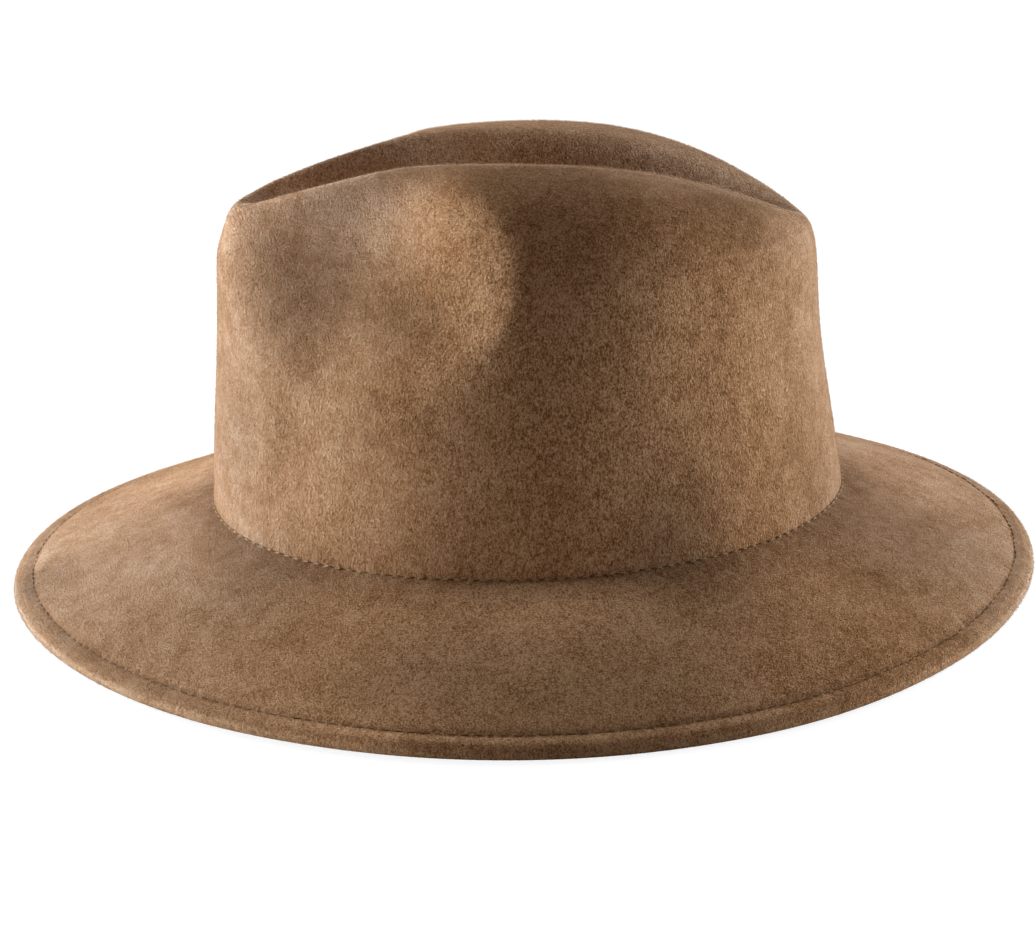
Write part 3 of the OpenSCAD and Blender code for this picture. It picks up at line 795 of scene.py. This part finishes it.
class HAT_OT_nap(bpy.types.Operator):
    """Raise the brushed nap: fine fibres over the outside of the crown and of the brim"""

    bl_idname = "hat.nap"
    bl_label = "Brushed Nap"

    def execute(self, context):
        felt = context.scene.hat_felt
        mesh = bpy.data.objects["blocked_felt"].data
        points = points_of(mesh)
        normals = np.array([v.normal for v in mesh.vertices])
        quads = np.array([f.vertices[:] for f in mesh.polygons])
        middles = points[quads].mean(1)
        areas = np.array([f.area for f in mesh.polygons])
        inside = surface_of(*(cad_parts[n] for n in ("lining_side", "lining_tip", "sweatband")))
        near = np.array([inside.find_nearest(Vector(m), NAP_ROOM)[0] is not None for m in middles])
        slope = np.array([f.normal.z for f in mesh.polygons])
        crown = middles[:, 2] > SEAM_MIDDLE.z + 0.001
        ridges = crown & (middles[:, 2] > SEAM_MIDDLE.z + felt.ridge_nap) & (slope > 0.4)
        edge = (middles[:, 2] < EDGE_TOP) & (slope > -0.7) & (slope < 0.85)
        areas *= np.where(crown | (slope > -0.5), 1, 0.35)
        left = middles[:, 0] > 0
        wanted = {
            "nap_crown": crown & ~ridges, "nap_left_ridge": ridges & left, "nap_right_ridge": ridges & ~left,
            "nap_brim": ~crown & ~edge, "nap_edge": edge}
        finish = nap_finish()
        for name, (seed, lean) in NAP_PIECES.items():
            shares = np.where(wanted[name] & ~near, areas, 0)
            piece = self.scatter(name, points, normals, quads, shares, seed, lean, felt)
            piece.data.materials.append(finish)
            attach(piece, "root")
        return {"FINISHED"}

    def one_fibre(self):
        """A fibre one unit long and wide, as points and faces."""
        bpy.ops.object.select_all(action="DESELECT")
        bpy.ops.mesh.primitive_cone_add(vertices=3, radius1=0.5, radius2=0, depth=1, location=(0, 0, 0.5))
        fibre = bpy.context.object
        bpy.ops.object.transform_apply(location=True, rotation=True, scale=True)
        points = points_of(fibre.data)
        faces = np.array([f.vertices[:] for f in fibre.data.polygons])
        bpy.data.meshes.remove(fibre.data)
        return points, faces

    def scatter(self, name, points, normals, quads, areas, seed, mean_lean, felt):
        """Fibres rooted at random all over some areas, that lie down and away from the crown's middle."""
        dice = np.random.default_rng(seed)
        count = felt.fibres
        chosen = dice.choice(len(quads), count, p=areas / areas.sum())
        u, v = dice.random((2, count, 1))
        corners = points[quads[chosen]]
        shares = [(1 - u) * (1 - v), u * (1 - v), u * v, (1 - u) * v]
        roots = sum(share * corners[:, k] for k, share in enumerate(shares))
        up = unit(sum(share * normals[quads[chosen]][:, k] for k, share in enumerate(shares)))
        away = unit((roots - np.array(SEAM_MIDDLE)) * (1, 1, 0), 1e-9)
        lie = away * 0.6 - np.array([0, 0, 1.0]) + dice.normal(0, 0.6, (count, 3))
        lie -= up * (lie * up).sum(1, keepdims=True)
        lie = unit(lie, 1e-9)
        lean = np.clip(dice.normal(mean_lean, 0.3, (count, 1)), 0.1, 1.4)
        way = np.cos(lean) * up + np.sin(lean) * lie
        side = unit(np.cross(way, up + 0.01))
        other = np.cross(way, side)
        length = felt.fibre_length * dice.uniform(0.45, 1, (count, 1))
        fibre, faces = self.one_fibre()
        made = (roots - 0.08 * length * up)[:, None] + (
            fibre[None, :, 0, None] * felt.fibre_width * side[:, None]
            + fibre[None, :, 1, None] * felt.fibre_width * other[:, None]
            + fibre[None, :, 2, None] * (length * way)[:, None])
        every = faces[None] + len(fibre) * np.arange(count)[:, None, None]
        piece = new_piece(name, made.reshape(-1, 3), every.reshape(-1, 3).tolist())
        mesh = piece.data
        tint = np.repeat(dice.uniform(0.05, 0.95, count), len(fibre))
        root_to_tip = np.tile(fibre[:, 2] * 0.9 + 0.05, count)
        loops = np.empty(len(mesh.loops), np.int32)
        mesh.loops.foreach_get("vertex_index", loops)
        own = np.stack([tint[loops], root_to_tip[loops]], 1).astype(np.float32)
        mesh.uv_layers.new(name="OFBake").data.foreach_set("uv", own.ravel())
        return piece


class HAT_OT_edge_sewing(bpy.types.Operator):
    """Sew the brim's turned-under edge, on its upper and its lower side"""

    bl_idname = "hat.edge_sewing"
    bl_label = "Edge Stitches"

    def execute(self, context):
        ground = surface_of(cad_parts["felt_body"])
        finish = thread_finish("edge_thread", context.scene.hat_sewing.edge_colour)
        for name, node in (
                ("edge_stitches_top", "welt_top_thread"), ("edge_stitches_under", "welt_under_thread")):
            sew(name, node, ground, finish, "sewing_thread", buried=0.9)
        return {"FINISHED"}


class HAT_OT_seam_sewing(bpy.types.Operator):
    """Sew the sweatband into the corner between crown and brim"""

    bl_idname = "hat.seam_sewing"
    bl_label = "Sweatband Stitches"

    def execute(self, context):
        ground = surface_of(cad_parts["felt_body"])
        finish = thread_finish("seam_thread", context.scene.hat_sewing.seam_colour)
        sew("seam_stitches", "sweatband_seam_thread", ground, finish, "seam_thread", shown=0.55)
        return {"FINISHED"}


class HAT_OT_sweatband(bpy.types.Operator):
    """Make the leather sweatband with the stitches along its reed and over its joint"""

    bl_idname = "hat.sweatband"
    bl_label = "Sweatband"

    def execute(self, context):
        piece = copy_of("sweatband", "leather_band")
        round_edges(piece, 0.0003)
        crease_edges(piece, sharp, 1.0)
        smooth(piece, 2)
        settle(piece)
        done(piece, leather_finish(), "leather", "sweatband")
        ground = surface_of(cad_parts["sweatband"])
        finish = thread_finish("band_thread", context.scene.hat_sewing.seam_colour)
        for name, node in (("reed_stitches", "reed_tape_thread"), ("joint_zigzag", "sweatband_joint_thread")):
            sew(name, node, ground, finish, "seam_thread")
        return {"FINISHED"}


class HAT_OT_reed(bpy.types.Operator):
    """Make the reed, the tape that wraps it and the strip behind the sweatband's joint"""

    bl_idname = "hat.reed"
    bl_label = "Reed and Tapes"

    def execute(self, context):
        trim_piece("sweatband_reed", "reed", reed_finish(), "reed", creased=False)
        finish = tape_finish()
        for name, node in (("reed_wrap", "reed_tape"), ("joint_strip", "sweatband_joint_tape")):
            trim_piece(node, name, finish, "backing_tape")
        return {"FINISHED"}


class HAT_OT_bow(bpy.types.Operator):
    """Tie the small ribbon bow at the back of the sweatband"""

    bl_idname = "hat.bow"
    bl_label = "Bow"

    def execute(self, context):
        finish = ribbon_finish()
        for name, node in (("bow_loop_left", "bow_left_loop"), ("bow_loop_right", "bow_right_loop")):
            trim_piece(node, name, finish, "ribbon")
        knot = self.knot()
        settle(knot)
        done(knot, finish, "ribbon", "bow_knot")
        return {"FINISHED"}

    def knot(self):
        """The ribbon round the bow's middle, pinched into folds."""
        low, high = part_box("bow_knot")
        middle, size = (low + high) / 2, high - low
        bpy.ops.object.select_all(action="DESELECT")
        bpy.ops.mesh.primitive_cylinder_add(vertices=32, radius=size.x / 2, depth=size.z, location=middle)
        knot = bpy.context.object
        knot.name = "bow_wrap"
        bpy.ops.object.transform_apply(location=True, rotation=True, scale=True)
        bpy.ops.object.mode_set(mode="EDIT")
        for share in KNOT_CUTS:
            bpy.ops.mesh.select_all(action="SELECT")
            bpy.ops.mesh.bisect(plane_co=(middle.x, middle.y, low.z + share * size.z), plane_no=(0, 0, 1))
        bpy.ops.object.mode_set(mode="OBJECT")
        points = points_of(knot.data)
        away = points[:, :2] - np.array(middle)[:2]
        turn = np.arctan2(away[:, 1], away[:, 0])
        high_up = (points[:, 2] - middle.z) / size.z * 2
        pinch = 0.8 + 0.16 * high_up ** 2 + 0.05 * np.cos(8 * turn) * (1 - np.abs(high_up))
        pinch = np.minimum(pinch, 1) * np.where(np.abs(high_up) > 0.99, 0.93, 1)
        points[:, :2] = np.array(middle)[:2] + away * pinch[:, None]
        place_points(knot.data, points)
        activate(knot)
        bpy.ops.object.shade_smooth_by_angle(angle=math.radians(45))
        return knot


class HAT_OT_lining(bpy.types.Operator):
    """Sew the satin lining: its rippled side, its tip and the piping between them"""

    bl_idname = "hat.lining"
    bl_label = "Lining"

    def execute(self, context):
        trim = context.scene.hat_trim
        side = copy_of("lining_side", "lining_wall")
        crease_edges(side, sharp, 1.0)
        smooth(side, 1)
        self.ripple(side, trim.ripple)
        settle(side)
        done(side, satin_finish("satin_side", trim.satin, (0.5, 0.4, 0.8)), "satin", "lining_side")
        finish = satin_finish("satin_tip", trim.satin, (0.2, 0.9, 0.3))
        tip = trim_piece("lining_tip", "lining_crown", finish, "satin", levels=1)
        finish = satin_finish("satin_piping", trim.piping, (0, 0, 0.78))
        trim_piece("lining_piping", "lining_cord", finish, "piping", creased=False)
        return {"FINISHED"}

    def ripple(self, piece, depth):
        """Soft upright folds that leave the lower edge behind the sweatband flat."""
        points = points_of(piece.data)
        away = points - np.array(SEAM_MIDDLE)
        turn = np.arctan2(away[:, 1], away[:, 0])
        folds = np.array([
            noise.noise(Vector((9 * math.cos(a), 9 * math.sin(a), 6 * z)))
            for a, z in zip(turn, points[:, 2])])
        low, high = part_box("lining_side")
        rise = (points[:, 2] - low.z) / (high.z - low.z)
        share = ramp(rise, 0.2, 0.25) * ramp(rise, 1, -0.2)
        inward = unit(-away * (1, 1, 0))
        place_points(piece.data, points + inward * (depth * share * np.clip(folds + 0.2, 0, 1))[:, None])


class HAT_OT_stage(bpy.types.Operator):
    """Set the studio: paper floor, soft lamps and the photograph's camera"""

    bl_idname = "hat.stage"
    bl_label = "Studio"

    def execute(self, context):
        stage = context.scene.hat_stage
        bpy.ops.object.select_all(action="DESELECT")
        bpy.ops.mesh.primitive_plane_add(size=8)
        floor = bpy.context.object
        floor.name = "paper_floor"
        floor.data.materials.append(self.paper(stage))
        for name, swing, rise, power in (
                ("left_lamp", stage.left_swing, stage.left_rise, stage.left),
                ("right_lamp", stage.right_swing, stage.right_rise, stage.right),
                ("back_lamp", math.pi, stage.back_rise, stage.back)):
            self.lamp(name, stage.azimuth + swing, rise, power, stage.daylight)
        self.surround(stage)
        self.camera(stage)
        context.scene.view_settings.view_transform = "Standard"
        return {"FINISHED"}

    def paper(self, stage):
        """Paper that is lit as usual and looks white itself."""
        look = Finish("paper")
        fibres = look.cloud(0.3, 2)
        colour = look.blend(fibres, shaded(stage.paper, 0.98), stage.paper)
        look.set(Base_Color=colour, Roughness=0.9, Specular_IOR_Level=0.1)
        seen = self.seen(look.tree)
        white = look.node("ShaderNodeEmission")
        look.feed(white.inputs["Strength"], look.sums("MULTIPLY", seen, 0.9))
        dimmed = look.node("ShaderNodeMixShader")
        look.feed(dimmed.inputs[0], look.sums("MULTIPLY", seen, 0.7))
        look.feed(dimmed.inputs[1], look.shader.outputs[0])
        both = look.node("ShaderNodeAddShader")
        look.feed(both.inputs[0], dimmed.outputs[0])
        look.feed(both.inputs[1], white.outputs[0])
        look.feed(look.tree.nodes["Material Output"].inputs["Surface"], both.outputs[0])
        return look.material

    def seen(self, tree):
        """One for rays that look at a thing, also in a reflection, and zero for those that light it."""
        path = tree.nodes.new("ShaderNodeLightPath")
        seen = path.outputs["Is Camera Ray"]
        for kind in ("Is Glossy Ray", "Is Transmission Ray"):
            either = tree.nodes.new("ShaderNodeMath")
            either.operation = "MAXIMUM"
            tree.links.new(seen, either.inputs[0])
            tree.links.new(path.outputs[kind], either.inputs[1])
            seen = either.outputs[0]
        return seen

    def lamp(self, name, turn, rise, power, colour):
        """A soft box that faces the hat."""
        back = direction(turn, rise)
        facing = back.to_track_quat("Z", "Y").to_euler()
        bpy.ops.object.light_add(type="AREA", location=LAMP_AIM + LAMP_DISTANCE * back, rotation=facing)
        lamp = bpy.context.object
        lamp.name = name
        lamp.data.shape = "RECTANGLE"
        lamp.data.size = lamp.data.size_y = LAMP_SIZE
        lamp.data.energy = power
        lamp.data.color = colour

    def surround(self, stage):
        """A white surround that gives a weak, warm light."""
        world = bpy.data.worlds.new("studio")
        world.use_nodes = True
        bpy.context.scene.world = world
        tree = world.node_tree
        shade = tree.nodes["Background"]
        shade.inputs["Color"].default_value = (*shaded(stage.warmth, stage.fill), 1)
        white = tree.nodes.new("ShaderNodeBackground")
        white.inputs["Color"].default_value = (1, 1, 1, 1)
        either = tree.nodes.new("ShaderNodeMixShader")
        tree.links.new(self.seen(tree), either.inputs[0])
        tree.links.new(shade.outputs[0], either.inputs[1])
        tree.links.new(white.outputs[0], either.inputs[2])
        tree.links.new(either.outputs[0], tree.nodes["World Output"].inputs["Surface"])

    def camera(self, stage):
        """The camera of the photograph."""
        turn, rise = stage.azimuth, stage.elevation
        bpy.ops.object.camera_add()
        camera = bpy.context.object
        camera.name = "photo_camera"
        camera.matrix_world = (
            Matrix.Translation(CAMERA_AIM + stage.distance * direction(turn, rise))
            @ Matrix.Rotation(turn, 4, "Z") @ Matrix.Rotation(math.pi / 2 - rise, 4, "X")
            @ Matrix.Rotation(stage.roll, 4, "Z"))
        camera.data.sensor_width = 36
        camera.data.lens = stage.lens
        camera.data.shift_x, camera.data.shift_y = stage.shift
        camera.data.clip_start, camera.data.clip_end = 0.05, 50
        bpy.context.scene.camera = camera


class HAT_PT_panel(bpy.types.Panel):
    bl_idname = "HAT_PT_panel"
    bl_label = "Felt Fedora"
    bl_space_type = "VIEW_3D"
    bl_region_type = "UI"
    bl_category = "Fedora"

    def draw(self, context):
        for group in GROUPS:
            settings = getattr(context.scene, group)
            box = self.layout.box()
            box.label(text=group.removeprefix("hat_").title())
            for name in settings.__annotations__:
                box.prop(settings, name)
        for operator in OPERATORS:
            self.layout.operator(operator.bl_idname)


GROUPS = {
    "hat_felt": FeltSettings, "hat_sewing": SewingSettings, "hat_trim": TrimSettings,
    "hat_stage": StageSettings}
OPERATORS = (
    HAT_OT_stage, HAT_OT_felt_body, HAT_OT_nap, HAT_OT_edge_sewing, HAT_OT_seam_sewing, HAT_OT_sweatband,
    HAT_OT_reed, HAT_OT_bow, HAT_OT_lining)


def register():
    for made in (*GROUPS.values(), *OPERATORS, HAT_PT_panel):
        bpy.utils.register_class(made)
    for name, group in GROUPS.items():
        setattr(bpy.types.Scene, name, bpy.props.PointerProperty(type=group))


def unregister():
    for name in GROUPS:
        delattr(bpy.types.Scene, name)
    for made in (HAT_PT_panel, *reversed(OPERATORS), *GROUPS.values()):
        bpy.utils.unregister_class(made)


def main():
    register()
    bpy.ops.hat.stage()
    bpy.ops.hat.felt_body()
    bpy.ops.hat.nap()
    bpy.ops.hat.edge_sewing()
    bpy.ops.hat.seam_sewing()
    bpy.ops.hat.sweatband()
    bpy.ops.hat.reed()
    bpy.ops.hat.bow()
    bpy.ops.hat.lining()


if __name__ == "__main__":
    main()
